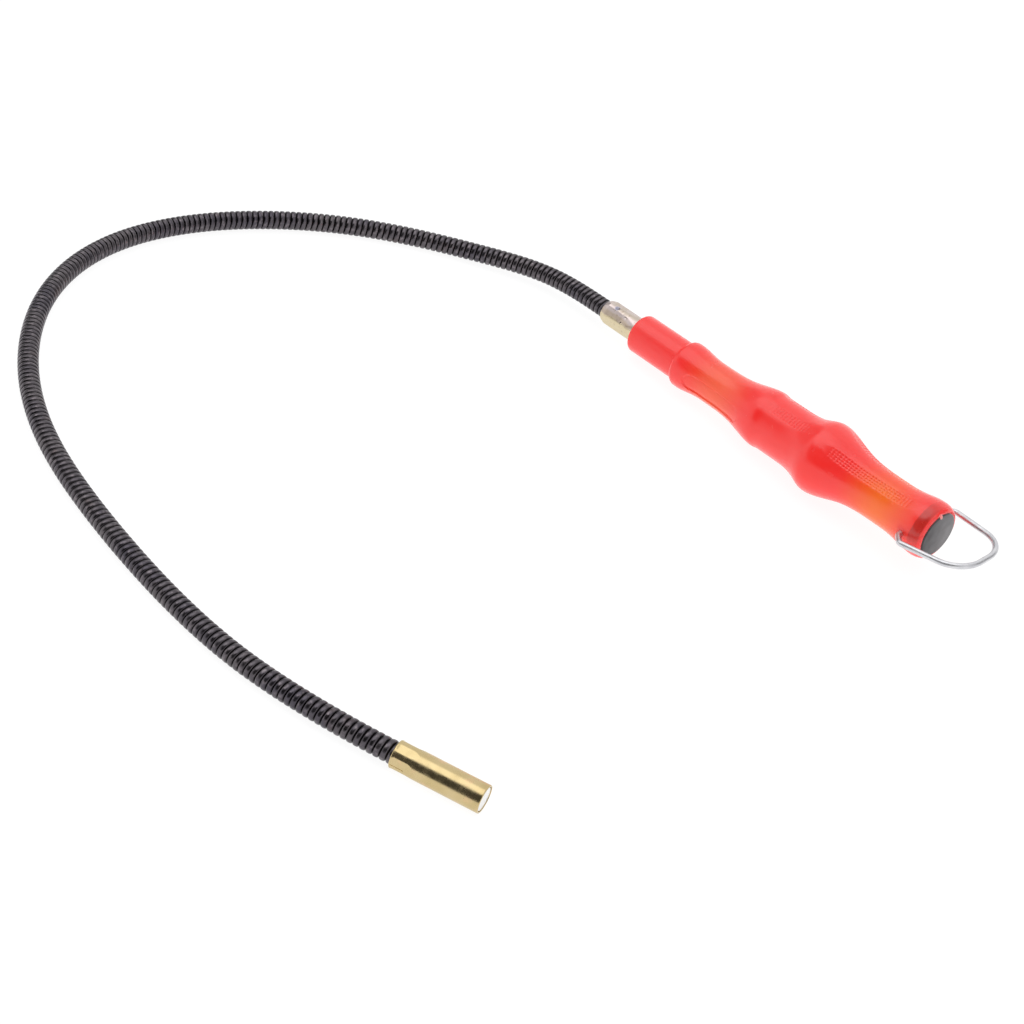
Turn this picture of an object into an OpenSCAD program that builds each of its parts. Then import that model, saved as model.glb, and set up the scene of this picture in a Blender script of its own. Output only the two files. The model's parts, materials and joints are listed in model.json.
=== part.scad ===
// Flexible magnetic pick-up tool: a turned plastic handle with a wire hanging loop and an end
// magnet, and a gooseneck of two wound wires that carries a brass sleeve with a rod magnet.
// X runs along the handle towards the hanging loop, Z is up, and the tool lies on the plane z = 0.

/* [Handle] */
// Length of the plastic handle
handle_len = 122.5; // [117.5:0.5:130]
// Radius of the straight neck at the front
neck_r = 6.4; // [6.2:0.05:6.8]
// Radius of the thickest bulge, which the handle rests on
bulge_r = 11.7; // [11:0.1:13]
// Tilt of the lying handle, front end lower
handle_tilt = 3; // [0:0.5:3.5]
// Depth of the flat-bottomed recess in the front waist
recess_depth = 0.45; // [0.2:0.05:0.8]
// Turn of the grip about the handle's axis, the recess downwards, in degrees
grip_roll = 6; // [0:1:30]

/* [End magnet] */
// Radius of the disc magnet in the rear face
end_magnet_r = 7.1; // [5:0.1:7.1]
// Thickness of the disc magnet
end_magnet_t = 4.6; // [3:0.1:5.2]
// How far the disc magnet stands out of the rear face
end_magnet_proud = 0.4; // [0:0.1:0.8]

/* [Hanging loop] */
// Diameter of the loop's wire
loop_wire = 1.8; // [1.4:0.1:2]
// Distance from the pivot to the middle of the wire at the loop's end
loop_reach = 23.3; // [21:0.1:30]
// Half-width of the loop where its legs turn to the rear
loop_half_w = 12.9; // [12:0.1:13.5]
// Half-width of the loop at its end
loop_end_half_w = 10.1; // [9.5:0.1:10.5]
// Height of the resting loop above the handle's axis, in degrees
loop_raise = 5; // [0:0.5:20]
// Turn of the pivot about the handle's axis, in degrees
loop_roll = 5; // [0:1:30]

/* [Gooseneck] */
// Outer diameter of the gooseneck
neck_d = 6; // [5.5:0.1:6.4]
// Diameter of the inner wound wire's tube shape
inner_coil_d = 4.3; // [3.6:0.1:4.5]
// Bore down the middle of the inner wound wire
inner_bore_d = 2.2; // [1:0.1:2.6]
// Wall of the ferrule
ferrule_wall = 1; // [0.8:0.05:1.2]
// Wall of the back of the tip sleeve
sleeve_wall = 0.7; // [0.5:0.05:0.8]
// Length of the ferrule outside the handle
ferrule_out = 15.2; // [12:0.2:18]
// Length of the ferrule inside the handle
ferrule_in = 24; // [15:1:30]

/* [Tip] */
// Length of the brass sleeve
tip_len = 24.5; // [22:0.5:30]
// Radius of the rod magnet
tip_magnet_r = 3.25; // [3:0.05:3.3]
// Length of the rod magnet
tip_magnet_len = 14; // [8:0.5:14]

/* [Hidden] */
$fn = 64;

slip = 0.05;            // gap all round a piece that is pushed into another
over = 1;               // how far a cutter runs past the face that it opens
rod_recess = 0.15;      // how far the rod magnet lies behind the sleeve's rim
turn_steps = 9;         // points along each curved span of the handle's outline

// The handle's front face is 0 along its axis, and the pieces in front of it are negative.
axis_h = bulge_r / cos(handle_tilt) - 0.643 * handle_len * sin(handle_tilt);
front_edge = 0.9;       // rounding of the neck's front edge
shoulder_x = 0.159 * handle_len;
shoulder_round = 1.6;
shoulder_r = 7.7;
rim_x = 0.971 * handle_len;
rim_r = 9;
rear_r = 7.5;           // radius where the rounded rim meets the rear face

// Waists and bulges behind the shoulder: place as a share of the length, radius, and how far
// the curve keeps to the waist (above 1) before it climbs the bulge.
GRIP = [[0.178, shoulder_r, 1.2], [0.265, 6.7, 1.8], [0.456, 9.45, 2.5], [0.496, 9.1, 2.4],
        [0.643, bulge_r, 1.8], [0.864, 7.7, 1.25], [0.971, rim_r, 1]];

tube_bore_r = neck_d / 2 + slip;
ferrule_r = tube_bore_r + ferrule_wall;
sleeve_r = tube_bore_r + sleeve_wall;
coil_in_ferrule = 12;   // how far the gooseneck is pushed into the ferrule
coil_in_sleeve = 8;     // how far it is pushed into the tip sleeve
crimp_depth = 0.13;     // how far the crimping flats cut into the round tubes

loop_x = 0.947 * handle_len;
loop_pin_in = 5.2;      // distance of the wire's ends from the handle's axis
loop_pin_out = 9.9;     // distance from the axis where the legs start to slant
loop_leg_x = 2.8;       // how far the slanted legs reach back towards the loop's end
hole_spare = 0.3;       // depth of each hole beyond the wire's end
loop_pin_bend_r = 1.2;  // bend between a pin and its slanted leg
loop_bend_r = 1.3;      // bend between a leg and its long side
loop_corner_r = 9.4;    // bend at the loop's two far corners
lap = 0.05;             // overlap of the wire's straight stretches with its bends
bend_thinning = 0.02;   // bending draws the wire this much thinner

// Half-way between the ferrule's mouth and the far edge of the loop
front_x = ferrule_out * cos(handle_tilt) + ferrule_r * sin(handle_tilt);
loop_end_x = loop_x * cos(handle_tilt) + loop_reach * cos(handle_tilt + loop_raise) + loop_wire / 2;
origin_x = (loop_end_x - front_x) / 2;

recess_from = 25.5;     // the recess in the front waist, from and to along the handle
recess_to = 50;
recess_w = 5.6;

// Control points of the gooseneck's route, from the handle's front face: x, y, and the height
// above its place on the floor. The last two lie on the tip sleeve's axis.
ROUTE = [[-41.5, 0.5, 2.2], [-62.5, -12, 0.3], [-81.5, -27.5, 0], [-97, -46, 0],
         [-108.5, -67.5, 0], [-115.5, -91, 0], [-116.5, -115.5, 0], [-110, -138.5, 0],
         [-97, -158.5, 0], [-79, -175, 0], [-58.5, -187.5, 0], [-36, -196, 0],
         [-12.5, -200.5, 0], [12, -203, 0], [36.5, -204, 0], [60.5, -202.5, 0],
         [84, -197.5, 0.75], [107, -189.5, 0.75], [129.5, -179.5, 0.75]];
route_step = 24;        // spacing of the control points
rings_per_step = 2;

function unit(v) = v / norm(v);

// A quarter ellipse from angle a to b about a centre given as [radius, distance].
function edge(centre, rx, ry, a, b, n = 6) =
    [for (i = [0 : n]) let (t = a + (b - a) * i / n) centre + [rx * cos(t), ry * sin(t)]];

// The curve between two neighbouring stations of GRIP.
function grip_span(a, b) =
    let (low = a[1] < b[1] ? a : b, high = a[1] < b[1] ? b : a)
    [for (i = [0 : turn_steps - 1])
        let (x = a[0] + (b[0] - a[0]) * i / turn_steps,
             u = abs(x - low[0]) / abs(high[0] - low[0]))
        [low[1] + (high[1] - low[1]) * (1 - cos(180 * pow(u, a[2]))) / 2, x * handle_len]];

// Outline of the handle as [radius, distance], drawn in by a depth all round.
function handle_outline(inset = 0) = [for (p = concat(
    [[inset, 0]],
    edge([neck_r - front_edge, front_edge], front_edge, front_edge, -90, 0),
    [[neck_r, shoulder_x]],
    edge([shoulder_r - shoulder_round, shoulder_x + shoulder_round],
         shoulder_round, shoulder_round, -90, 0),
    [for (i = [0 : len(GRIP) - 2]) each grip_span(GRIP[i], GRIP[i + 1])],
    edge([rear_r, rim_x], rim_r - rear_r, handle_len - rim_x, 0, 90),
    [[inset, handle_len]])) [p.x - inset, p.y]];

// A round solid about the X axis from its outline.
module turned(outline) {
    rotate([0, 90, 0]) rotate_extrude() polygon(outline);
}

// A plain rod along X.
module rod(from, to, r) {
    translate([from, 0, 0]) rotate([0, 90, 0]) cylinder(h = to - from, r = r);
}

// Places what lies on the handle's axis.
module on_handle() {
    translate([-origin_x, 0, axis_h]) rotate([0, -handle_tilt, 0]) children();
}

// Flats pressed into a tube about X: a ring of cutters.
module crimp(from, to, r, count) {
    for (i = [0 : count - 1])
        rotate([360 * i / count, 0, 0])
            translate([from, -r, r - crimp_depth]) cube([to - from, 2 * r, r]);
}

// A round dent in a tube about X, at a place and an angle up from the -Y side.
module dent(x, angle, r, size, depth) {
    rotate([-angle, 0, 0]) translate([x, -r - size + depth, 0]) sphere(r = size);
}

// The long flat-bottomed recess on the handle's -Y side.
module recess() {
    rotate([grip_roll, 0, 0]) difference() {
        rotate([90, 0, 0]) linear_extrude(height = bulge_r) {
            for (x = [recess_from + recess_w / 2, recess_to - recess_w / 2])
                translate([x, 0]) circle(d = recess_w);
            translate([recess_from + recess_w / 2, -recess_w / 2])
                square([recess_to - recess_from - recess_w, recess_w]);
        }
        turned(handle_outline(recess_depth));
    }
}

module handle() {
    color([0.95, 0.28, 0.22]) on_handle() difference() {
        turned(handle_outline());
        rod(-over, ferrule_in + slip, ferrule_r + slip);
        rod(handle_len + end_magnet_proud - end_magnet_t, handle_len + over, end_magnet_r + slip);
        translate([loop_x, 0, 0]) rotate([loop_roll, 0, 0]) for (side = [-1, 1])
            rotate([-90 * side, 0, 0]) translate([0, 0, loop_pin_in - hole_spare])
                cylinder(h = rim_r, d = loop_wire + 2 * slip);
        recess();
    }
}

module end_magnet() {
    back = handle_len + end_magnet_proud;
    color([0.35, 0.35, 0.37]) on_handle() turned([[0, back - end_magnet_t],
        [end_magnet_r, back - end_magnet_t], [end_magnet_r, back - 0.3],
        [end_magnet_r - 0.3, back], [0, back]]);
}

// One straight stretch of the loop's wire, between two points of its plane, lapping the bends.
module wire_run(p, q) {
    translate([p.x, p.y, 0]) rotate([0, 90, atan2(q.y - p.y, q.x - p.x)])
        translate([0, 0, -lap]) cylinder(h = norm(q - p) + 2 * lap, d = loop_wire);
}

// The bend of the wire at a corner of its centre line.
module wire_bend(before, corner, after, r) {
    a = unit(before - corner);
    b = unit(after - corner);
    half = acos(a * b) / 2;
    centre = corner + unit(a + b) * r / sin(half);
    first = corner + a * r / tan(half) - centre;
    last = corner + b * r / tan(half) - centre;
    turn = (atan2(last.y, last.x) - atan2(first.y, first.x) + 540) % 360 - 180;
    start = turn > 0 ? first : last;
    translate([centre.x, centre.y, 0]) rotate([0, 0, atan2(start.y, start.x)])
        rotate_extrude(angle = abs(turn)) translate([r, 0]) circle(d = loop_wire - bend_thinning);
}

// How far a bend of radius r starts before its corner.
function bend_start(before, corner, after, r) =
    r / tan(acos(unit(before - corner) * unit(after - corner)) / 2);

module hanging_loop() {
    pin = [0, loop_pin_in];
    knee = [0, loop_pin_out];
    hip = [loop_leg_x, loop_half_w];
    corner = [loop_reach, loop_end_half_w];
    middle = [loop_reach, 0];
    knee_cut = bend_start(pin, knee, hip, loop_pin_bend_r);
    hip_cut = bend_start(knee, hip, corner, loop_bend_r);
    corner_cut = bend_start(hip, corner, middle, loop_corner_r);
    leg = unit(hip - knee);
    long_side = unit(corner - hip);
    color([0.75, 0.76, 0.78]) on_handle() translate([loop_x, 0, 0])
        rotate([loop_roll, 0, 0]) rotate([0, -loop_raise, 0]) {
            for (side = [0, 1]) mirror([0, side, 0]) {
                wire_run(pin, knee - [0, knee_cut]);
                wire_bend(pin, knee, hip, loop_pin_bend_r);
                wire_run(knee + leg * knee_cut, hip - leg * hip_cut);
                wire_bend(knee, hip, corner, loop_bend_r);
                wire_run(hip + long_side * hip_cut, corner - long_side * corner_cut);
                wire_bend(hip, corner, middle, loop_corner_r);
            }
            wire_run(corner - [0, corner_cut], [loop_reach, corner_cut - loop_end_half_w]);
        }
}

module ferrule() {
    mouth_r = tube_bore_r + 0.55;
    color([0.88, 0.83, 0.7]) on_handle() difference() {
        turned([[tube_bore_r, -ferrule_out], [mouth_r - 0.2, -ferrule_out],
                [mouth_r, 0.2 - ferrule_out], [ferrule_r, 1.6 - ferrule_out],
                [ferrule_r, ferrule_in], [tube_bore_r, ferrule_in]]);
        crimp(2.2 - ferrule_out, 8 - ferrule_out, ferrule_r, 8);
        dent(5 - ferrule_out, 71, ferrule_r, 1.3, 0.4);
        dent(10 - ferrule_out, 53, ferrule_r, 0.5, 0.25);
        dent(9.5 - ferrule_out, 13, ferrule_r, 0.5, 0.25);
    }
}

// A point of the handle's axis, from its front face.
function on_axis(x) = [x * cos(handle_tilt), 0, axis_h + x * sin(handle_tilt)];

// All control points, the first two on the ferrule's axis.
CONTROLS = concat([on_axis(route_step - ferrule_out), on_axis(-ferrule_out)],
                  [for (p = ROUTE) [p.x, p.y, p.z + neck_d / 2]]);

// A point of the smooth curve, t from 0 to 1 along stretch i of the control points.
function on_route(i, t) =
    (pow(1 - t, 3) * CONTROLS[i] + (3 * pow(t, 3) - 6 * t * t + 4) * CONTROLS[i + 1]
     + (1 + 3 * t + 3 * t * t - 3 * pow(t, 3)) * CONTROLS[i + 2] + pow(t, 3) * CONTROLS[i + 3]) / 6;

stretches = len(CONTROLS) - 3;
tip_base = on_route(stretches - 1, 1);
tip_dir = unit(CONTROLS[stretches + 2] - CONTROLS[stretches]);

// The gooseneck's centre line, from inside the ferrule to inside the tip sleeve.
PATH = concat([on_axis(coil_in_ferrule - ferrule_out)],
              [for (i = [0 : stretches - 1], k = [0 : rings_per_step - 1])
                  on_route(i, k / rings_per_step)],
              [tip_base, tip_base + coil_in_sleeve * tip_dir]);

// The corners of one ring of a tube, square to the path at point i.
function ring(i, r, sides) =
    let (along = unit(PATH[min(i + 1, len(PATH) - 1)] - PATH[max(i - 1, 0)]),
         side = unit(cross(along, [0, 0, 1])), up = cross(side, along))
    [for (j = [0 : sides - 1]) let (t = 360 * (j + 0.5) / sides)
        PATH[i] + r * (cos(t) * side + sin(t) * up)];

// A hollow tube swept along PATH.
module swept_tube(outer_r, inner_r, sides) {
    rings = len(PATH);
    inner = rings * sides;   // first point of the bore
    corners = [for (r = [outer_r, inner_r]) for (i = [0 : rings - 1]) each ring(i, r, sides)];
    walls = [for (i = [0 : rings - 2], j = [0 : sides - 1])
        let (a = i * sides + j, b = i * sides + (j + 1) % sides)
        each [[a, b, b + sides], [a, b + sides, a + sides],
              [inner + a, inner + b + sides, inner + b],
              [inner + a, inner + a + sides, inner + b + sides]]];
    ends = [for (j = [0 : sides - 1])
        let (a = j, b = (j + 1) % sides, c = inner - sides + a, d = inner - sides + b)
        each [[a, inner + a, inner + b], [a, inner + b, b],
              [c, d, inner + d], [c, inner + d, inner + c]]];
    translate([-origin_x, 0, 0]) polyhedron(points = corners, faces = concat(walls, ends));
}

module gooseneck_inner_coil() {
    color([0.3, 0.29, 0.29]) swept_tube(inner_coil_d / 2, inner_bore_d / 2, 8);
}

module gooseneck_outer_coil() {
    color([0.42, 0.4, 0.42]) swept_tube(neck_d / 2, inner_coil_d / 2 / cos(180 / 12) + slip, 12);
}

// Places what lies on the tip's axis, with X from the sleeve's back to its front.
module on_tip() {
    translate(tip_base - [origin_x, 0, 0])
        rotate([0, 0, atan2(tip_dir.y, tip_dir.x)]) children();
}

module tip_sleeve() {
    lip = 0.35;
    seat = tip_len - rod_recess - tip_magnet_len;
    color([0.82, 0.7, 0.42]) on_tip() difference() {
        turned([[tube_bore_r, 0], [sleeve_r - lip, 0], [sleeve_r, lip],
                [sleeve_r, tip_len - lip], [sleeve_r - lip / 3, tip_len],
                [tip_magnet_r + slip, tip_len], [tip_magnet_r + slip, seat],
                [tube_bore_r, seat]]);
        crimp(1.2, 6, sleeve_r, 6);
    }
}

module tip_magnet() {
    front = tip_len - rod_recess;
    color([0.86, 0.86, 0.87]) on_tip() turned([[0, front - tip_magnet_len],
        [tip_magnet_r, front - tip_magnet_len], [tip_magnet_r, front - 0.2],
        [tip_magnet_r - 0.2, front], [0, front]]);
}

handle();
end_magnet();
hanging_loop();
ferrule();
gooseneck_inner_coil();
gooseneck_outer_coil();
tip_sleeve();
tip_magnet();
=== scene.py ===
"""A flexible magnetic pick-up tool lying on a pale floor.

Lengths named here are in millimetres and MM turns them into metres. The handle and the tip each
have a local frame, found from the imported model: X runs along their axis, from the handle's front
face or the sleeve's back. An angle round an axis is counted up from the -Y side.
"""

import json
import math

import bmesh
import bpy
import numpy as np
from mathutils import Matrix, Vector


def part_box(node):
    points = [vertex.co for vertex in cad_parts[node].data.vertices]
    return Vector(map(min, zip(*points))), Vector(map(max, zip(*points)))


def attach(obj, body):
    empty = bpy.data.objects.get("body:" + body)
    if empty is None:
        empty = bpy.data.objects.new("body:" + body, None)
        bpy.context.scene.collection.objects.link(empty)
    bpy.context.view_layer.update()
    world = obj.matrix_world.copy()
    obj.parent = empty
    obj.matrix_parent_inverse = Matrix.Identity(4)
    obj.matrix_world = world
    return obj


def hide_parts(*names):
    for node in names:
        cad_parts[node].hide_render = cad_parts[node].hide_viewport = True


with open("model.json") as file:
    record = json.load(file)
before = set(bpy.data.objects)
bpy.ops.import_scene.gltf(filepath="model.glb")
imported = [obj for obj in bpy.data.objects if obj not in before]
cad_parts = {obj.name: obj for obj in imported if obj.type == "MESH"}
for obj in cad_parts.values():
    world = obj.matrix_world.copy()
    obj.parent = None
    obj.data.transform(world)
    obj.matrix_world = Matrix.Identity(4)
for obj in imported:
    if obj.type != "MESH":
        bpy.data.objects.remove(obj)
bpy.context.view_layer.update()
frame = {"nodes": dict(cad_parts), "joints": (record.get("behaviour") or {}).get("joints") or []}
MM = 0.001


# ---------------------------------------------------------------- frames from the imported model
def centre_of(node):
    """The middle of a CAD node's box."""
    low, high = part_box(node)
    return (low + high) / 2


def span_of(node, origin, along):
    """How far a CAD node reaches along a line, lowest and highest, in metres."""
    reach = [(v.co - origin).dot(along) for v in frame["nodes"][node].data.vertices]
    return min(reach), max(reach)


def axis_frame(origin, along):
    """A frame with X along an axis and Y level."""
    x = along.normalized()
    y = Vector((0, 0, 1)).cross(x).normalized()
    z = x.cross(y)
    m = Matrix((x, y, z)).transposed().to_4x4()
    m.translation = origin
    return m


handle_dir = (centre_of("end_magnet") - centre_of("ferrule")).normalized()
magnet_centre = centre_of("end_magnet")
front, rear = span_of("handle", magnet_centre, handle_dir)
HANDLE = axis_frame(magnet_centre + front * handle_dir, handle_dir)
HANDLE_LEN = (rear - front) / MM
ferrule_front, ferrule_back = (v / MM for v in span_of("ferrule", HANDLE.translation, handle_dir))
magnet_back = span_of("end_magnet", HANDLE.translation, handle_dir)[0] / MM
PIVOT = HANDLE.inverted() @ Vector(frame["joints"][0]["pos_m"])
PIVOT_DIR = HANDLE.to_3x3().inverted() @ Vector(frame["joints"][0]["axis"])

# ---------------------------------------------------------------- camera
CAMERA_AT = (362.6, -483.8, 362.7)    # from the floor under the handle's front face
LOOKS_AT = (44.8, -94.1, 0)
CAMERA_ROLL = 15
LENS = 77.34
SENSOR = 36


def make_camera():
    base = Vector((HANDLE.translation.x, 0, 0))
    place = base + Vector(CAMERA_AT) * MM
    look = (base + Vector(LOOKS_AT) * MM - place).normalized()
    data = bpy.data.cameras.new("camera")
    data.lens, data.sensor_width = LENS, SENSOR
    data.clip_start, data.clip_end = 0.01, 50
    camera = bpy.data.objects.new("camera", data)
    turn = look.to_track_quat("-Z", "Y").to_matrix() @ Matrix.Rotation(
        math.radians(CAMERA_ROLL), 3, "Z"
    )
    camera.matrix_world = Matrix.Translation(place) @ turn.to_4x4()
    bpy.context.scene.collection.objects.link(camera)
    bpy.context.scene.camera = camera


make_camera()

# ---------------------------------------------------------------- the gooseneck's route
NECK_D = 6
IN_FERRULE = 12      # length of the gooseneck inside the ferrule
IN_SLEEVE = 8        # length of it inside the tip sleeve
ROUTE_STEP = 24
# Control points from the floor under the handle's front face, in metres, as in the CAD.
ROUTE = [
    (-0.0415, 0.0005, 0.0052), (-0.0625, -0.012, 0.0033), (-0.0815, -0.0275, 0.003),
    (-0.097, -0.046, 0.003), (-0.1085, -0.0675, 0.003), (-0.1155, -0.091, 0.003),
    (-0.1165, -0.1155, 0.003), (-0.11, -0.1385, 0.003), (-0.097, -0.1585, 0.003),
    (-0.079, -0.175, 0.003), (-0.0585, -0.1875, 0.003), (-0.036, -0.196, 0.003),
    (-0.0125, -0.2005, 0.003), (0.012, -0.203, 0.003), (0.0365, -0.204, 0.003),
    (0.0605, -0.2025, 0.003), (0.084, -0.1975, 0.00375), (0.107, -0.1895, 0.00375),
    (0.1295, -0.1795, 0.00375),
]


def on_axis(x):
    """A point of the handle's axis, x millimetres behind its front face."""
    return HANDLE @ Vector((x * MM, 0, 0))


base_x = Vector((HANDLE.translation.x, 0, 0))
CONTROLS = [on_axis(ferrule_front + ROUTE_STEP), on_axis(ferrule_front)]
CONTROLS += [base_x + Vector(p) for p in ROUTE]


def on_route(i, t):
    """A point of the smooth curve, t from 0 to 1 along stretch i of the control points."""
    a, b, c, d = CONTROLS[i : i + 4]
    return (
        (1 - t) ** 3 * a
        + (3 * t**3 - 6 * t**2 + 4) * b
        + (1 + 3 * t + 3 * t**2 - 3 * t**3) * c
        + t**3 * d
    ) / 6


STRETCHES = len(CONTROLS) - 3
TIP_BASE = on_route(STRETCHES - 1, 1)
TIP_DIR = (CONTROLS[-1] - CONTROLS[-3]).normalized()
TIP = axis_frame(TIP_BASE, TIP_DIR)
sleeve_front = span_of("tip_sleeve", TIP_BASE, TIP_DIR)[1] / MM
rod_back = span_of("tip_magnet", TIP_BASE, TIP_DIR)[0] / MM

POINTS_PER_STRETCH = 16
CENTRE_LINE = [on_axis(ferrule_front + IN_FERRULE), on_axis(ferrule_front + IN_FERRULE / 2)]
CENTRE_LINE += [
    on_route(i, k / POINTS_PER_STRETCH)
    for i in range(STRETCHES)
    for k in range(POINTS_PER_STRETCH)
]
CENTRE_LINE += [TIP_BASE + TIP_DIR * d * MM for d in (0, IN_SLEEVE / 2, IN_SLEEVE)]


class Rail:
    """The centre line by its length, with a level and an upright direction square to it."""

    REACH = 1 * MM      # how far to each side of a point its direction is measured

    def __init__(self, points):
        self.points = np.array([list(p) for p in points])
        steps = np.linalg.norm(np.diff(self.points, axis=0), axis=1)
        self.at = np.concatenate([[0], np.cumsum(steps)])
        self.length = self.at[-1]

    def sample(self, s):
        """Points, level and upright directions at the lengths s, in metres."""
        s = np.clip(s, 0, self.length)
        ahead = np.clip(s + self.REACH, 0, self.length)
        behind = np.clip(s - self.REACH, 0, self.length)
        where = [np.stack([np.interp(q, self.at, self.points[:, k]) for k in range(3)], -1)
                 for q in (s, ahead, behind)]
        along = where[1] - where[2]
        along /= np.linalg.norm(along, axis=-1, keepdims=True)
        level = np.cross(along, [0, 0, 1])
        level /= np.linalg.norm(level, axis=-1, keepdims=True)
        return where[0], level, np.cross(level, along)


RAIL = Rail(CENTRE_LINE)


def new_piece(name, verts, faces, place=None, attributes=None, sharp=30):
    """A smooth-shaded mesh object with sharp creases over an angle in degrees."""
    mesh = bpy.data.meshes.new(name)
    mesh.from_pydata([tuple(v) for v in verts], [], [tuple(f) for f in faces])
    for key, values in (attributes or {}).items():
        mesh.attributes.new(key, "FLOAT", "POINT").data.foreach_set("value", values)
    work = bmesh.new()
    work.from_mesh(mesh)
    bmesh.ops.recalc_face_normals(work, faces=work.faces)
    work.to_mesh(mesh)
    work.free()
    mesh.shade_smooth()
    mesh.set_sharp_from_angle(angle=math.radians(sharp))
    piece = bpy.data.objects.new(name, mesh)
    bpy.context.scene.collection.objects.link(piece)
    if place is not None:
        piece.matrix_world = place
    return piece


def wound_tube(name, profile, pitch, bore, sides, bore_rings):
    """A wire wound into a tube along RAIL, as one closed mesh with a plain bore.

    profile is one turn of the wire's outside as (share of the pitch, radius, depth 0 to 1), and
    the turns run on into each other round the tube, as a screw thread does.
    """
    turns = int((RAIL.length / MM - pitch) / pitch)
    phases = len(profile)
    rows = turns * phases + 1
    side = np.arange(sides)
    row = np.arange(rows)
    phase = np.array([profile[q % phases][0] + q // phases for q in row])
    radius = np.array([profile[q % phases][1] for q in row])
    depth = np.array([profile[q % phases][2] for q in row])
    s = (phase[:, None] + side[None, :] / sides) * pitch * MM
    s *= RAIL.length / ((turns + 1) * pitch * MM)
    angle = 2 * np.pi * side / sides
    centre, level, up = RAIL.sample(s)
    out = level * np.cos(angle)[None, :, None] + up * np.sin(angle)[None, :, None]
    verts = [(centre + out * (radius * MM)[:, None, None]).reshape(-1, 3)]
    depths = [np.repeat(depth, sides)]

    def skin(q, j):
        """Vertex of row q, side j, where side numbers past the last go on to the next turn."""
        return (q + phases * (j // sides)) * sides + j % sides

    faces = [
        (skin(q, j), skin(q, j + 1), skin(q + 1, j + 1), skin(q + 1, j))
        for q in range(rows - 1)
        for j in range(sides)
        if q + 1 + phases * ((j + 1) // sides) < rows
    ]
    inner = rows * sides
    along = np.linspace(0, RAIL.length, bore_rings)
    centre, level, up = RAIL.sample(np.repeat(along[:, None], sides, 1))
    out = level * np.cos(angle)[None, :, None] + up * np.sin(angle)[None, :, None]
    verts.append((centre + out * bore * MM).reshape(-1, 3))
    depths.append(np.ones(bore_rings * sides))
    for r in range(bore_rings - 1):
        for j in range(sides):
            a, b = inner + r * sides + j, inner + r * sides + (j + 1) % sides
            faces.append((a, b, b + sides, a + sides))
    # The end faces run from the bore to the skin, and a fan closes the step of one turn in each.
    last, end = rows - 1, inner + (bore_rings - 1) * sides
    for row_at, ring in ((0, inner), (last, end)):
        for j in range(sides - 1):
            faces.append((skin(row_at, j), skin(row_at, j + 1), ring + j + 1, ring + j))
    for q in range(phases):
        faces.append((skin(q, 0), skin(q + 1, 0), inner))
        faces.append((skin(last - phases + q, sides - 1), skin(last - phases + q + 1, sides - 1),
                      end + sides - 1))
    faces.append((skin(0, sides - 1), skin(phases, 0), inner, inner + sides - 1))
    faces.append((skin(last - phases, sides - 1), end + sides - 1, end, skin(last, 0)))
    return new_piece(name, np.concatenate(verts), faces,
                     attributes={"depth": np.concatenate(depths)})


OUTER_PITCH = 1.85
OUTER_R = NECK_D / 2
# One turn of the flat-crowned outer wire, from groove to groove.
OUTER_PROFILE = [
    (0.00, OUTER_R - 0.46, 1.0), (0.08, OUTER_R - 0.42, 1.0), (0.14, OUTER_R - 0.19, 0.6),
    (0.24, OUTER_R - 0.06, 0.1), (0.42, OUTER_R, 0.0), (0.62, OUTER_R, 0.0),
    (0.82, OUTER_R - 0.07, 0.1), (0.93, OUTER_R - 0.21, 0.6),
]
INNER_R = 2.1
INNER_BORE = 1.1
INNER_WAVE = 0.25       # half the depth of the inner wire's round grooves
INNER_STEPS = 6
INNER_PROFILE = [
    (k / INNER_STEPS, INNER_R - INNER_WAVE * (1 + math.cos(2 * math.pi * k / INNER_STEPS)), 0.0)
    for k in range(INNER_STEPS)
]
BORE_RINGS = 80
outer_coil = wound_tube("gooseneck_outer_wire", OUTER_PROFILE, OUTER_PITCH, INNER_R + 0.1, 32,
                        BORE_RINGS)
inner_coil = wound_tube("gooseneck_inner_wire", INNER_PROFILE, OUTER_PITCH, INNER_BORE, 16,
                        BORE_RINGS)


# ---------------------------------------------------------------- turned pieces
def turned_piece(name, outline, place, angles, shape=None, sharp=30):
    """A closed round solid from an outline of (x, radius) in millimetres that goes once round it.

    shape(x, radius, angles) gives the radii of one ring, where the piece isn't quite round.
    An outline that starts and ends at radius 0 is capped there by single points.
    """
    solid = outline[0][1] == 0
    rings = outline[1:-1] if solid else outline
    n = len(angles)
    turn = np.radians(angles)
    verts = []
    for x, r in rings:
        radii = np.full(n, r) if shape is None else shape(x, r, angles)
        ring = np.stack([np.full(n, x), -radii * np.cos(turn), radii * np.sin(turn)], -1)
        verts.append(ring * MM)
    verts = list(np.concatenate(verts))
    count = len(rings) if not solid else len(rings) - 1
    faces = []
    for i in range(count):
        k = (i + 1) % len(rings)
        for j in range(n):
            j2 = (j + 1) % n
            faces.append((i * n + j, i * n + j2, k * n + j2, k * n + j))
    if solid:
        for ring, x in ((0, outline[0][0]), (len(rings) - 1, outline[-1][0])):
            verts.append((x * MM, 0, 0))
            faces += [(ring * n + j, ring * n + (j + 1) % n, len(verts) - 1) for j in range(n)]
    return new_piece(name, verts, faces, place, sharp=sharp)


def smooth_step(v):
    v = np.clip(v, 0, 1)
    return v * v * (3 - 2 * v)


def merged(*series, least):
    """All the values of the series in order, without those nearer than least to the last."""
    kept = []
    for v in sorted(np.concatenate([np.asarray(s, float) for s in series])):
        if not kept or v - kept[-1] > least:
            kept.append(v)
    return np.array(kept)


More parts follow.
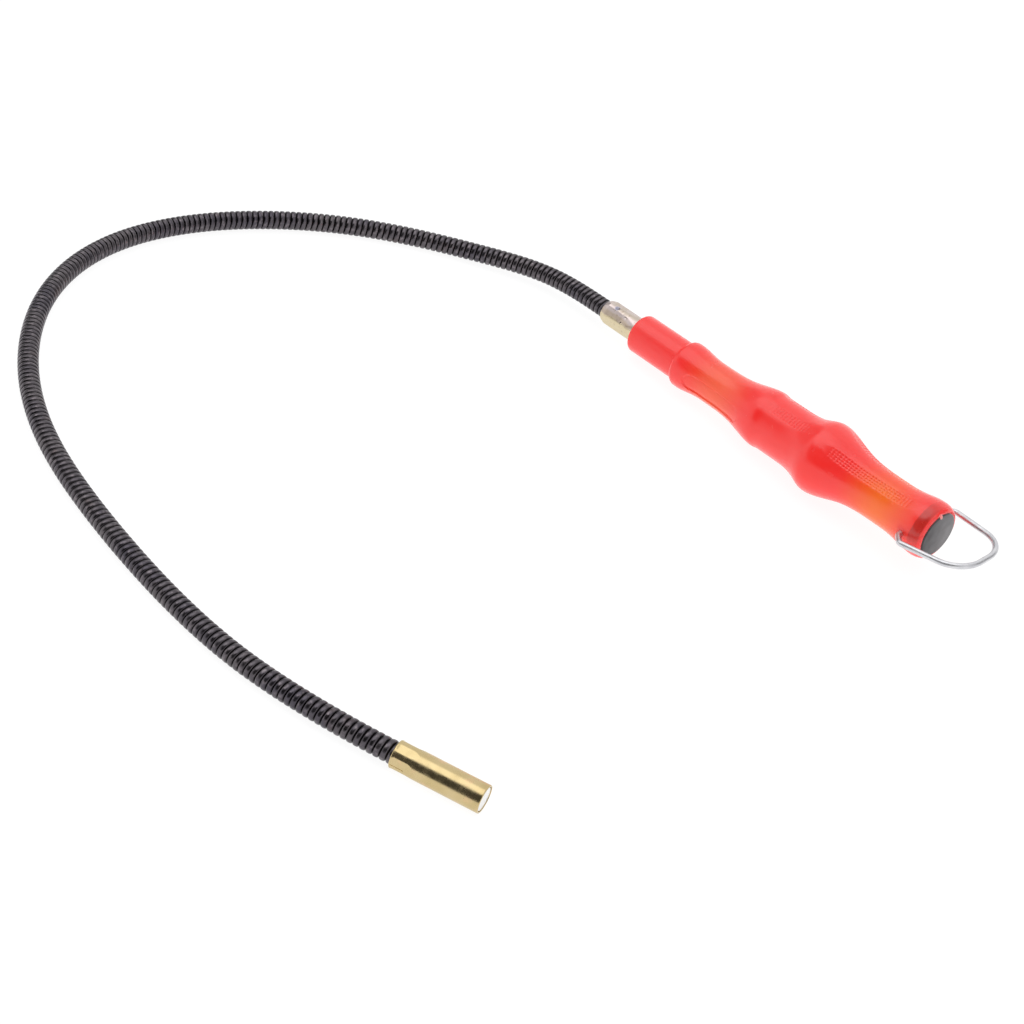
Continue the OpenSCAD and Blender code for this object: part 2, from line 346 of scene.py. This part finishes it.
# The handle's outline, as in the CAD: place as a share of the length, radius, and how far the
# curve keeps to the waist before it climbs.
NECK_R = 6.4
SHOULDER_R = 7.7
SHOULDER_AT = 0.159
SHOULDER_ROUND = 1.6
FRONT_EDGE = 0.9
RIM_R = 9
RIM_AT = 0.971
REAR_R = 7.5
GRIP = [(0.178, SHOULDER_R, 1.2), (0.265, 6.7, 1.8), (0.456, 9.45, 2.5), (0.496, 9.1, 2.4),
        (0.643, 11.7, 1.8), (0.864, 7.7, 1.25), (RIM_AT, RIM_R, 1)]
POCKET_R = 7.15      # pocket for the disc magnet
BORE_R = 4.1         # bore for the ferrule


def grip_radius(x):
    """Radius of the handle between its shoulder and its rim."""
    share = x / HANDLE_LEN
    for a, b in zip(GRIP, GRIP[1:]):
        if share <= b[0]:
            break
    low, high = (a, b) if a[1] < b[1] else (b, a)
    u = min(abs(share - low[0]) / abs(high[0] - low[0]), 1)
    return low[1] + (high[1] - low[1]) * (1 - math.cos(math.pi * u ** a[2])) / 2


def handle_radius(x):
    """Radius of the plain handle at x millimetres from its front face."""
    shoulder, rim = SHOULDER_AT * HANDLE_LEN, RIM_AT * HANDLE_LEN
    if x < FRONT_EDGE:
        return NECK_R - FRONT_EDGE + math.sqrt(max(FRONT_EDGE**2 - (FRONT_EDGE - x) ** 2, 0))
    if x <= shoulder:
        return NECK_R
    if x < shoulder + SHOULDER_ROUND:
        rise = math.sqrt(max(SHOULDER_ROUND**2 - (shoulder + SHOULDER_ROUND - x) ** 2, 0))
        return SHOULDER_R - SHOULDER_ROUND + rise
    if x < GRIP[0][0] * HANDLE_LEN:
        return SHOULDER_R
    if x <= rim:
        return grip_radius(x)
    drop = min((x - rim) / (HANDLE_LEN - rim), 1)
    return REAR_R + (RIM_R - REAR_R) * math.sqrt(1 - drop * drop)


RECESS = {"from": 25.5, "to": 50.0, "width": 5.6, "depth": 0.45, "edge": 0.3, "angle": -6}
DOT_PITCH = 1.1          # along the handle
ROW_PITCH = 0.85         # round the handle
DOT_ROWS = 4
DOT_DEPTH = 0.2
DOT_SIZE = 0.3
END_DOT_SHARE = 0.35     # depth of the dots at a panel's ends, as a share of the others'
DOT_TAPER = 4            # length over which they get their full depth
FLAT_DEPTH = 0.16        # how far the dotted panels are flattened
FLAT_LEAD = 5            # how far the flattening starts before the dots
FLAT_FADE = 8            # length over which it grows
FLAT_HALF = 28           # half its width, in degrees
FLAT_LIMIT = 0.5         # the deepest that it cuts
# Dotted panels: from and to along the handle, and their angles at both ends.
PANELS = [(58, 75.5, 59, 59), (58, 75.5, 116, 116), (84.5, 114, 48, 54), (84.5, 114, 114, 114)]
# The hidden side mirrors the side that shows.
PANELS += [(a, b, 2 * RECESS["angle"] - c, 2 * RECESS["angle"] - d) for a, b, c, d in PANELS]


def degrees_off(angles, middle):
    """Angles from a middle one, from -180 to 180."""
    return (angles - middle + 180) % 360 - 180


def recess_depth(x, y):
    """Depth of the recess at x along the handle and y across it."""
    half = RECESS["width"] / 2
    inner = np.clip(x, RECESS["from"] + half, RECESS["to"] - half)
    inside = half - np.hypot(x - inner, y)
    return RECESS["depth"] * smooth_step(inside / RECESS["edge"])


def dot_depth(x, y, start, end):
    """Depth of the dots at x along the handle and y across it from the panel's middle."""
    column = np.clip(np.round((x - start) / DOT_PITCH), 0, math.floor((end - start) / DOT_PITCH))
    row = np.clip(np.round(y / ROW_PITCH + (DOT_ROWS - 1) / 2), 0, DOT_ROWS - 1)
    dx = x - start - column * DOT_PITCH
    dy = y - (row - (DOT_ROWS - 1) / 2) * ROW_PITCH
    taper = smooth_step((x - start) / DOT_TAPER) * smooth_step((end - x) / DOT_TAPER)
    near = np.exp(-(dx**2 + dy**2) / DOT_SIZE**2)
    return near * DOT_DEPTH * (END_DOT_SHARE + (1 - END_DOT_SHARE) * taper)


def handle_shape(x, r, angles):
    """Radii of one ring of the handle's outside, with its recess and dotted panels."""
    if abs(r - handle_radius(x)) > 0.01:
        return np.full(len(angles), r)
    radii = np.full(len(angles), float(r))
    off = degrees_off(angles, RECESS["angle"])
    across = r * np.sin(np.radians(off))
    radii -= np.where(np.abs(off) < 60, recess_depth(x, across), 0)
    for start, end, angle_from, angle_to in PANELS:
        fade = smooth_step((x - start + FLAT_LEAD) / FLAT_FADE)
        fade *= smooth_step((end + FLAT_LEAD - x) / FLAT_FADE)
        if fade <= 0:
            continue
        share = min(max((x - start) / (end - start), 0), 1)
        off = degrees_off(angles, angle_from + (angle_to - angle_from) * share)
        near = np.abs(off) < FLAT_HALF
        flat = (r - FLAT_DEPTH * fade) / np.cos(np.radians(np.clip(off, -60, 60)))
        radii = np.where(near, np.minimum(radii, np.maximum(flat, r - FLAT_LIMIT)), radii)
        if start - 1 < x < end + 1:
            radii -= np.where(near, dot_depth(x, r * np.radians(off), start, end), 0)
    return radii


def handle_stations():
    """Places along the handle's outside where it has a ring, closest where the detail is."""
    shoulder, rim = SHOULDER_AT * HANDLE_LEN, RIM_AT * HANDLE_LEN
    quarter = 1 - np.cos(np.linspace(0, math.pi / 2, 8))
    return merged(
        FRONT_EDGE * quarter,
        np.arange(2, shoulder, 2),
        [shoulder],
        shoulder + SHOULDER_ROUND * quarter + 0.01,
        np.arange(22, rim, 0.8),
        np.arange(RECESS["from"] - 0.6, RECESS["to"] + 0.6, 0.35),
        *[np.arange(a - 1, b + 1, DOT_PITCH / 5) for a, b, _, _ in (PANELS[0], PANELS[2])],
        HANDLE_LEN - (HANDLE_LEN - rim) * (1 - np.sin(np.linspace(0, math.pi / 2, 10))),
        least=0.008,
    )


def handle_angles():
    """Angles round the handle, closest in the recess and the dotted panels."""
    fine = [(34, 74), (100, 130), (-86, -46), (-142, -112)]
    return merged(
        np.arange(0, 360, 4),
        (RECESS["angle"] + np.arange(-27, 27.1, 1.4)) % 360,
        *[np.arange(a, b, 1.0) % 360 for a, b in fine],
        least=0.6,
    )


def handle_outline():
    """Outside and both blind holes of the handle, as one line that starts and ends on the axis."""
    bore_end = ferrule_back + 0.05
    outside = [(x, handle_radius(x)) for x in handle_stations()]
    return [(bore_end, 0), (bore_end, BORE_R), (0, BORE_R), *outside,
            (HANDLE_LEN, POCKET_R), (magnet_back, POCKET_R), (magnet_back, 0)]


def combine(piece, other, operation):
    """Cuts another object out of a piece, or joins it on, by an exact boolean."""
    step = piece.modifiers.new("combine", "BOOLEAN")
    step.operation, step.object, step.solver = operation, other, "EXACT"
    bpy.context.view_layer.update()
    graph = bpy.context.evaluated_depsgraph_get()
    done = bpy.data.meshes.new_from_object(piece.evaluated_get(graph))
    piece.modifiers.clear()
    piece.data = done
    bpy.data.objects.remove(other)


def cut_hole(piece, place, radius, depth):
    """Cuts a round hole into a piece, at the place and along the Z of a matrix."""
    bpy.ops.mesh.primitive_cylinder_add(vertices=32, radius=radius, depth=depth)
    cutter = bpy.context.object
    cutter.matrix_world = place
    combine(piece, cutter, "DIFFERENCE")


NIB_R = 0.5                            # radius of the moulding nib on the rear rim
NIB_STRETCH = 1.4
NIB_AT = Vector((122.7, -1.7, 6.8)) * MM


def add_nib(piece):
    """Joins a small moulding nib to the rear rim, over the edge of the disc magnet."""
    bpy.ops.mesh.primitive_uv_sphere_add(segments=24, ring_count=12, radius=NIB_R * MM)
    nib = bpy.context.object
    longer = Matrix.Diagonal((1, 1, NIB_STRETCH, 1))
    outwards = Vector((0, NIB_AT.y, NIB_AT.z)).to_track_quat("Z", "Y").to_matrix().to_4x4()
    nib.matrix_world = HANDLE @ Matrix.Translation(NIB_AT) @ outwards @ longer
    combine(piece, nib, "UNION")


HOLE_R = 0.95
HOLE_FLOOR = 4.9     # distance of the holes' ends from the handle's axis
HOLE_DEPTH = 8       # from there out past the handle's side


def make_handle():
    handle = turned_piece("handle_body", handle_outline(), HANDLE, handle_angles(), handle_shape)
    depth = HOLE_DEPTH * MM
    for side in (-1, 1):
        out = PIVOT_DIR * side
        middle = PIVOT + out * (HOLE_FLOOR * MM + depth / 2)
        turn = out.to_track_quat("Z", "Y").to_matrix().to_4x4()
        cut_hole(handle, HANDLE @ Matrix.Translation(middle) @ turn, HOLE_R * MM, depth)
    add_nib(handle)
    handle.data.shade_smooth()
    handle.data.set_sharp_from_angle(angle=math.radians(30))
    return handle


handle = make_handle()


# ---------------------------------------------------------------- ferrule and tip
def crimped(r, angles, first, count, depth):
    """Radii of a ring pressed flat at evenly spaced angles."""
    step = 360 / count
    off = (angles - first + step / 2) % step - step / 2
    return np.minimum(r, (r - depth) / np.cos(np.radians(off)))


def pressed(x, r, angles, at, angle, size, depth):
    """How deep a round punch mark is along a ring."""
    off = degrees_off(angles, angle)
    far = np.hypot((x - at) / size[0], r * np.radians(off) / size[1])
    return depth * (1 - smooth_step(far))


CRIMPS = 6
FERRULE_R = 4.05
FERRULE_MOUTH_R = 3.6
FERRULE_CRIMP = 0.3
TUBE_BORE = 3.05
# Punch marks: from the mouth, angle, half length and half width, depth.
PUNCHES = [(4.8, 71, (1.0, 0.75), 0.45), (10, 53, (0.7, 0.4), 0.2), (9.5, 20, (0.6, 0.45), 0.22),
           (8, 62, (0.5, 0.3), 0.08)]


def ferrule_shape(x, r, angles):
    if r < FERRULE_MOUTH_R - 0.01:
        return np.full(len(angles), r)
    mouth = ferrule_front
    pressed_in = smooth_step((x - mouth) / 1.5) * smooth_step((-1 - x) / 6)
    radii = crimped(r, angles, 38, CRIMPS, FERRULE_CRIMP * pressed_in)
    for at, angle, size, depth in PUNCHES:
        radii = radii - pressed(x, r, angles, mouth + at, angle, size, depth)
    return radii


def make_ferrule():
    mouth, lip_r, flare = ferrule_front, 0.2, 1.8
    lip = [(mouth + lip_r * (1 - math.cos(t)), FERRULE_MOUTH_R - lip_r * (1 - math.sin(t)))
           for t in np.linspace(0, math.pi / 2, 5)]
    cone = [(mouth + v, FERRULE_MOUTH_R + (FERRULE_R - FERRULE_MOUTH_R) * smooth_step(v / flare))
            for v in np.arange(0.4, 1.9, 0.2)]
    outline = [(mouth, TUBE_BORE), *lip, *cone]
    outline += [(x, FERRULE_R) for x in np.arange(mouth + 2, 1, 0.2)]
    outline += [(ferrule_back, FERRULE_R), (ferrule_back, TUBE_BORE)]
    return turned_piece("ferrule_tube", outline, HANDLE, np.arange(0, 360, 2.5), ferrule_shape)


SLEEVE_R = 3.75
SLEEVE_CRIMP = 0.16
ROD_BORE = 3.3
SLIT = {"angle": -8, "length": 4.2, "width": 0.32, "depth": 0.3}


def sleeve_shape(x, r, angles):
    if r < SLEEVE_R - 0.4:
        return np.full(len(angles), r)
    in_crimp = smooth_step(x / 1.0) * smooth_step((6.5 - x) / 2)
    radii = crimped(r, angles, 12, CRIMPS, SLEEVE_CRIMP * in_crimp)
    off = degrees_off(angles, SLIT["angle"])
    inside = SLIT["width"] / 2 - np.abs(r * np.radians(off))
    return radii - SLIT["depth"] * smooth_step(inside / 0.1) * (x < SLIT["length"])


def make_sleeve():
    lip = 0.35
    bend = np.linspace(0, math.pi / 2, 5)
    back = [(lip * (1 - math.cos(t)), SLEEVE_R - lip * (1 - math.sin(t))) for t in bend]
    nose = [(sleeve_front - lip * (1 - math.sin(t)), SLEEVE_R - lip / 3 * (1 - math.cos(t)))
            for t in bend]
    outline = [(0, TUBE_BORE), *back]
    outline += [(x, SLEEVE_R) for x in np.arange(0.6, 7.5, 0.2)]
    outline += [*nose, (sleeve_front, ROD_BORE), (rod_back, ROD_BORE), (rod_back, TUBE_BORE)]
    angles = merged(np.arange(0, 360, 3), (SLIT["angle"] + np.arange(-5, 5.1, 0.5)) % 360, least=0.3)
    return turned_piece("tip_sleeve_tube", outline, TIP, angles, sleeve_shape)


ferrule = make_ferrule()
sleeve = make_sleeve()


# ---------------------------------------------------------------- materials
class Shader:
    """A node material with one principled shader, and short calls for the nodes it uses."""

    def __init__(self, name, **inputs):
        self.material = bpy.data.materials.new(name)
        self.material.use_nodes = True
        self.nodes = self.material.node_tree.nodes
        self.links = self.material.node_tree.links
        self.surface = self.nodes["Principled BSDF"]
        for key, value in inputs.items():
            self.surface.inputs[key.replace("_", " ")].default_value = value

    def node(self, kind, inputs=None, **settings):
        made = self.nodes.new("ShaderNode" + kind)
        for key, value in settings.items():
            setattr(made, key, value)
        for key, value in (inputs or {}).items():
            if isinstance(value, bpy.types.NodeSocket):
                self.links.new(value, made.inputs[key])
            else:
                made.inputs[key].default_value = value
        return made

    def place(self, scale=(1, 1, 1)):
        coords = self.node("TexCoord").outputs["Object"]
        return self.node("Mapping", {"Vector": coords, "Scale": scale}).outputs["Vector"]

    def axis(self, name):
        coords = self.node("TexCoord").outputs["Object"]
        return self.node("SeparateXYZ", {"Vector": coords}).outputs[name]

    def noise(self, scale, detail=3, stretch=(1, 1, 1), rough=0.5):
        inputs = {"Vector": self.place(stretch), "Scale": scale, "Detail": detail, "Roughness": rough}
        return self.node("TexNoise", inputs).outputs["Fac"]

    def attribute(self, name):
        return self.node("Attribute", attribute_name=name).outputs["Fac"]

    def math(self, operation, a, b=0.0, c=0.0):
        return self.node("Math", {0: a, 1: b, 2: c}, operation=operation).outputs[0]

    def ramp(self, value, start, end):
        """A smooth step from 0 where a value is at start to 1 where it is at end."""
        inputs = {"Value": value, "From Min": start, "From Max": end}
        return self.node("MapRange", inputs, interpolation_type="SMOOTHSTEP").outputs[0]

    def band(self, value, low, high, soft):
        """1 where a value lies between low and high, with soft edges."""
        rise = self.ramp(value, low - soft, low + soft)
        fall = self.ramp(value, high + soft, high - soft)
        return self.math("MULTIPLY", rise, fall)

    def spread(self, value, low, high, to_low=0.0, to_high=1.0):
        inputs = {"Value": value, "From Min": low, "From Max": high, "To Min": to_low,
                  "To Max": to_high}
        return self.node("MapRange", inputs).outputs[0]

    def varied(self, scale, detail, to_low=0.0, to_high=1.0):
        """Noise spread evenly between two values."""
        return self.spread(self.noise(scale, detail), 0.3, 0.7, to_low, to_high)

    def spots(self, scale, detail, low, high, strength):
        """Noise that is 0 but in spots, where it climbs to a strength."""
        return self.math("MULTIPLY", self.spread(self.noise(scale, detail), low, high), strength)

    def mix(self, factor, a, b):
        made = self.node("Mix", data_type="RGBA")
        for index, value in ((0, factor), (6, a), (7, b)):
            if isinstance(value, bpy.types.NodeSocket):
                self.links.new(value, made.inputs[index])
            else:
                made.inputs[index].default_value = value if index == 0 else (*value, 1)
        return made.outputs[2]

    def near(self, point, radius, soft):
        """1 within a distance of a point, with a soft edge."""
        coords = self.node("TexCoord").outputs["Object"]
        far = self.node("VectorMath", {0: coords, 1: point}, operation="DISTANCE").outputs["Value"]
        return self.spread(far, radius + soft, radius - soft)

    def bump(self, height, strength, distance, after=None):
        inputs = {"Height": height, "Strength": strength, "Distance": distance}
        if after is not None:
            inputs["Normal"] = after
        return self.node("Bump", inputs).outputs["Normal"]

    def set(self, **sockets):
        for key, value in sockets.items():
            self.links.new(value, self.surface.inputs[key.replace("_", " ")])
        return self.material


# Stretches of the handle with painted glow and painted shade, in metres from its front face.
FRONT_PAINTED_GLOW = (0.03, 0.046)
DEEP_RED_SHADE = (0.075, 0.088)
REAR_PAINTED_GLOW = (0.098, 0.112)
HOLE_SHADE_SPAN = (0.1143, 0.1178)
MAGNET_SHADE_START = 0.1178
MAGNET_SHADE_SIDE = (-0.82, 0.57)     # Y and Z of the side where the painted shade of the disc magnet is darkest
RED_BRIGHT = (1.0, 0.044, 0.041)
RED = (1.0, 0.03, 0.028)
RED_PAINTED_SHADE = (1.0, 0.02, 0.017)
ORANGE = (1.0, 0.21, 0.008)
PALE_ORANGE = (1.0, 0.185, 0.05)


def acetate():
    """Translucent red-orange plastic, with painted orange glow where it is thin, painted red glow,
    painted shade and a painted highlight.
    """
    # The red emission is a painted glow, for light passing through the plastic.
    s = Shader("acetate", Roughness=0.25, Subsurface_Weight=0.35, Subsurface_Scale=0.003,
               Subsurface_Radius=(1.0, 0.3, 0.18), Coat_Weight=0.3, Coat_Roughness=0.12,
               Specular_IOR_Level=0.5, Emission_Color=(1.0, 0.03, 0.02, 1), Emission_Strength=0.16)
    x, y, z = (s.axis(name) for name in "XYZ")
    grain = s.noise(260, 4)
    base = s.mix(s.spread(grain, 0.2, 0.8), RED, RED_BRIGHT)
    below_top = s.spread(z, 0.0055, 0.0095, 1, 0)
    # Painted glow: orange and pale orange below the top of the thin waists, for light shining through
    # them.
    waist = s.math("MULTIPLY", s.band(x, *REAR_PAINTED_GLOW, 0.009), below_top)
    base = s.mix(s.math("MULTIPLY", waist, 0.9), base, ORANGE)
    front = s.math("MULTIPLY", s.band(x, *FRONT_PAINTED_GLOW, 0.008), below_top)
    base = s.mix(s.math("MULTIPLY", front, 0.6), base, PALE_ORANGE)
    # Painted shade: deeper red low on the second bulge, where the plastic is thick.
    deep = s.math("MULTIPLY", s.band(x, *DEEP_RED_SHADE, 0.006), s.spread(z, 0.002, 0.006, 1, 0))
    base = s.mix(s.math("MULTIPLY", deep, 0.7), base, RED_PAINTED_SHADE)
    # The dark disc magnet inside shows through the wall: this mottled dark band is painted shade,
    # darkest towards one side.
    start = s.math("ADD", MAGNET_SHADE_START, s.math("MULTIPLY", s.noise(250, 2), 0.0014))
    past_start = s.spread(s.math("SUBTRACT", x, start), -0.0003, 0.0003)
    magnet = s.math("MULTIPLY", past_start, s.spread(x, 0.1216, 0.122, 1, 0))
    towards = s.math("MULTIPLY_ADD", y, MAGNET_SHADE_SIDE[0], s.math("MULTIPLY", z, MAGNET_SHADE_SIDE[1]))
    magnet = s.math("MULTIPLY", magnet, s.spread(towards, 0.0045, 0.0085, 0.15, 1))
    mottled = s.mix(s.noise(350, 3), (0.36, 0.013, 0.01), (0.6, 0.035, 0.025))
    base = s.mix(magnet, base, mottled)
    # Painted shade: dark red where the loop's holes lie under the wall.
    hole = s.math("MULTIPLY", s.band(x, *HOLE_SHADE_SPAN, 0.0006), s.band(z, -0.0034, 0.0014, 0.0006))
    base = s.mix(s.math("MULTIPLY", hole, 0.5), base, (0.8, 0.01, 0.01))
    # Painted highlight: the nib is painted pale pink.
    nib = s.near(NIB_AT, 0.0009, 0.0002)
    base = s.mix(nib, base, (1.0, 0.4, 0.38))
    fine = s.noise(900, 3)
    return s.set(
        Base_Color=base,
        Roughness=s.spread(grain, 0.2, 0.8, 0.21, 0.29),
        Normal=s.bump(fine, 0.1, 0.0001),
    )


def black_oxide():
    """Gun-metal wire with patches, rust and worn spots, its grooves painted nearly black as shade."""
    s = Shader("black_oxide", Metallic=1.0)
    patches = s.noise(90, 4)
    crown = s.mix(s.spread(patches, 0.35, 0.65), (0.085, 0.077, 0.092), (0.12, 0.108, 0.116))
    rust = s.spots(140, 3, 0.6, 0.75, 0.35)
    crown = s.mix(rust, crown, (0.14, 0.085, 0.07))
    worn = s.spots(750, 3, 0.52, 0.68, 0.6)
    crown = s.mix(worn, crown, (0.25, 0.22, 0.235))
    # Painted shade: the grooves, by the depth attribute, are nearly black.
    base = s.mix(s.attribute("depth"), crown, (0.01, 0.008, 0.009))
    return s.set(
        Base_Color=base,
        Roughness=s.varied(400, 3, 0.2, 0.36),
        Normal=s.bump(s.noise(1800, 3), 0.15, 0.00005),
    )


def plain_wire():
    """Bare spring steel, for the inner coil."""
    s = Shader("spring_wire", Metallic=1.0)
    base = s.mix(s.varied(200, 3), (0.2, 0.19, 0.19), (0.32, 0.3, 0.29))
    return s.set(Base_Color=base, Roughness=s.varied(500, 2, 0.3, 0.5))


def brass():
    """Turned brass, with pink stains and fine marks round the sleeve."""
    s = Shader("turned_brass", Metallic=1.0)
    tone = s.noise(160, 4)
    base = s.mix(s.spread(tone, 0.35, 0.65), (0.57, 0.445, 0.22), (0.63, 0.5, 0.27))
    stains = s.spots(420, 3, 0.58, 0.72, 0.4)
    base = s.mix(stains, base, (0.8, 0.5, 0.3))
    rings = s.noise(300, 2, (40, 1, 1))
    return s.set(
        Base_Color=base,
        Roughness=s.varied(500, 3, 0.16, 0.3),
        Normal=s.bump(rings, 0.08, 0.00005),
    )


def yellow_zinc():
    """Yellow zinc plate with strips of painted reflection by height, a painted dark line, dirt, and
    one blue punch mark.
    """
    s = Shader("yellow_zinc", Metallic=1.0)
    uneven = s.math("MULTIPLY", s.noise(300, 4), 0.0024)
    height = s.math("ADD", s.axis("Z"), s.math("SUBTRACT", uneven, 0.0012))
    # Painted reflections by height: yellow low down, brownish above it, a pink highlight, and beige
    # at the top.
    base = s.mix(s.spread(height, 0.0009, 0.0014), (0.71, 0.61, 0.41), (0.6, 0.49, 0.4))
    base = s.mix(s.spread(height, 0.0022, 0.0027), base, (0.7, 0.6, 0.58))
    base = s.mix(s.spread(height, 0.0034, 0.0039), base, (0.62, 0.53, 0.45))
    # Painted shade: a broken dark line along one height, a dark reflection.
    broken = s.spread(s.noise(400, 2), 0.4, 0.6)
    reflected_shade_line = s.math("MULTIPLY", s.band(height, 0.0007, 0.0009, 0.0003), broken)
    base = s.mix(s.math("MULTIPLY", reflected_shade_line, 0.55), base, (0.3, 0.2, 0.13))
    punched = s.near((-0.0104, -0.0013, 0.0037), 0.0009, 0.0003)
    base = s.mix(s.math("MULTIPLY", punched, 0.85), base, (0.3, 0.32, 0.44))
    dirt = s.spots(900, 4, 0.58, 0.7, 0.5)
    base = s.mix(dirt, base, (0.38, 0.28, 0.2))
    return s.set(
        Base_Color=base,
        Roughness=s.varied(500, 3, 0.24, 0.42),
        Normal=s.bump(s.noise(500, 4), 0.3, 0.0001),
    )


def bright_wire():
    """Drawn steel wire with fine marks."""
    s = Shader("bright_wire", Metallic=1.0)
    base = s.mix(s.spread(s.noise(250, 3), 0.35, 0.65), (0.62, 0.62, 0.65), (0.74, 0.74, 0.76))
    return s.set(
        Base_Color=base,
        Roughness=s.varied(700, 3, 0.32, 0.48),
        Normal=s.bump(s.noise(900, 3), 0.1, 0.00005),
    )


def magnet_grey():
    """Dark grey satin plating on the disc magnet, with a painted sheen that makes it paler towards
    its far side.
    """
    s = Shader("magnet_grey", Metallic=0.9)
    # Painted sheen: paler across the face towards its far side.
    across = s.spread(s.axis("Y"), -0.006, 0.007)
    base = s.mix(across, (0.066, 0.062, 0.066), (0.25, 0.24, 0.245))
    base = s.mix(s.varied(150, 4, 0, 0.25), base, (0.16, 0.155, 0.16))
    return s.set(
        Base_Color=base,
        Roughness=s.varied(400, 3, 0.34, 0.5),
        Normal=s.bump(s.noise(1200, 3), 0.15, 0.00005),
    )


def nickel():
    """Bright nickel plating, for the rod magnet."""
    s = Shader("nickel", Metallic=1.0)
    base = s.mix(s.varied(300, 3), (0.82, 0.81, 0.8), (0.9, 0.89, 0.88))
    return s.set(
        Base_Color=base,
        Roughness=s.varied(600, 3, 0.2, 0.36),
        Normal=s.bump(s.noise(1000, 3), 0.1, 0.00005),
    )


def floor_paint():
    """A pale table top with light under it, so shadows are faint."""
    s = Shader("table_top", Roughness=0.9, Specular_IOR_Level=0.1,
               Emission_Color=(1, 1, 1, 1), Emission_Strength=0.92)
    base = s.mix(s.varied(3, 2), (0.15, 0.15, 0.15), (0.17, 0.17, 0.17))
    return s.set(Base_Color=base)


def dress(piece, material, slot, body, *nodes):
    """Gives a piece its material and body, and hides the CAD nodes it stands for. slot is not used.
    """
    piece.data.materials.clear()
    piece.data.materials.append(material)
    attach(piece, body)
    if nodes:
        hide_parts(*nodes)


dress(outer_coil, black_oxide(), "gooseneck_black_oxide", "tool", "gooseneck_outer_coil")
dress(inner_coil, plain_wire(), "inner_coil_steel", "tool", "gooseneck_inner_coil")
dress(sleeve, brass(), "sleeve_brass", "tool", "tip_sleeve")
dress(handle, acetate(), "handle_plastic", "tool", "handle")
dress(ferrule, yellow_zinc(), "ferrule_zinc", "tool", "ferrule")
for node, material in (("end_magnet", magnet_grey()), ("tip_magnet", nickel()),
                       ("hanging_loop", bright_wire())):
    piece = frame["nodes"][node]
    piece.data.materials.clear()
    piece.data.materials.append(material)


# ---------------------------------------------------------------- stage and light
FLOOR_SIZE = 30      # metres


def make_floor():
    bpy.ops.mesh.primitive_plane_add(size=FLOOR_SIZE)
    floor = bpy.context.object
    floor.name = "floor"
    floor.data.materials.append(floor_paint())


# Round patches of the room's light: direction, half width in degrees, and level.
ROOM_LIGHT = 0.96
LAMP_TOWARDS = (-0.35, -0.2, 0.91)    # a large round lamp, up and to the left of the camera
LAMP_RADIUS = 26
LAMP_LIGHT = 1.7
SHADE_TOWARDS = (0.06, -0.82, 0.57)    # the dark side of the room, left behind the camera
SHADE_RADIUS = 37
SHADE_LIGHT = 0.06
SOFT_EDGE = 5        # half the width of a patch's soft edge, in degrees
DIM_SIDES = ((-0.95, 0.1, 0.22), (0.6, 0.62, 0.5))      # greyer walls, at the far left and the right
DIM_RADIUS = 27
DIM_LIGHT = 0.35


def make_room():
    """A white room with a round lamp and a dark side, which the camera sees as plain white."""
    world = bpy.data.worlds.new("room")
    bpy.context.scene.world = world
    world.use_nodes = True
    nodes, links = world.node_tree.nodes, world.node_tree.links
    background = nodes["Background"]
    coords = nodes.new("ShaderNodeTexCoord")

    def patch(towards, radius, level, before):
        """Sets the light to a level within some degrees of a direction."""
        facing = nodes.new("ShaderNodeVectorMath")
        facing.operation = "DOT_PRODUCT"
        facing.inputs[1].default_value = Vector(towards).normalized()
        links.new(coords.outputs["Generated"], facing.inputs[0])
        step = nodes.new("ShaderNodeMapRange")
        step.interpolation_type = "SMOOTHSTEP"
        step.inputs["From Min"].default_value = math.cos(math.radians(radius + SOFT_EDGE))
        step.inputs["From Max"].default_value = math.cos(math.radians(radius - SOFT_EDGE))
        links.new(facing.outputs["Value"], step.inputs["Value"])
        blend = nodes.new("ShaderNodeMix")
        links.new(step.outputs[0], blend.inputs[0])
        if isinstance(before, float):
            blend.inputs[2].default_value = before
        else:
            links.new(before, blend.inputs[2])
        blend.inputs[3].default_value = level
        return blend.outputs[0]

    light = ROOM_LIGHT
    for towards in DIM_SIDES:
        light = patch(towards, DIM_RADIUS, DIM_LIGHT, light)
    light = patch(SHADE_TOWARDS, SHADE_RADIUS, SHADE_LIGHT, light)
    light = patch(LAMP_TOWARDS, LAMP_RADIUS, LAMP_LIGHT, light)
    path = nodes.new("ShaderNodeLightPath")
    seen = nodes.new("ShaderNodeMix")
    links.new(path.outputs["Is Camera Ray"], seen.inputs[0])
    links.new(light, seen.inputs[2])
    seen.inputs[3].default_value = 1.0
    links.new(seen.outputs[0], background.inputs["Strength"])
    background.inputs["Color"].default_value = (1, 1, 1, 1)


make_floor()
make_room()
bpy.context.scene.view_settings.view_transform = "Standard"
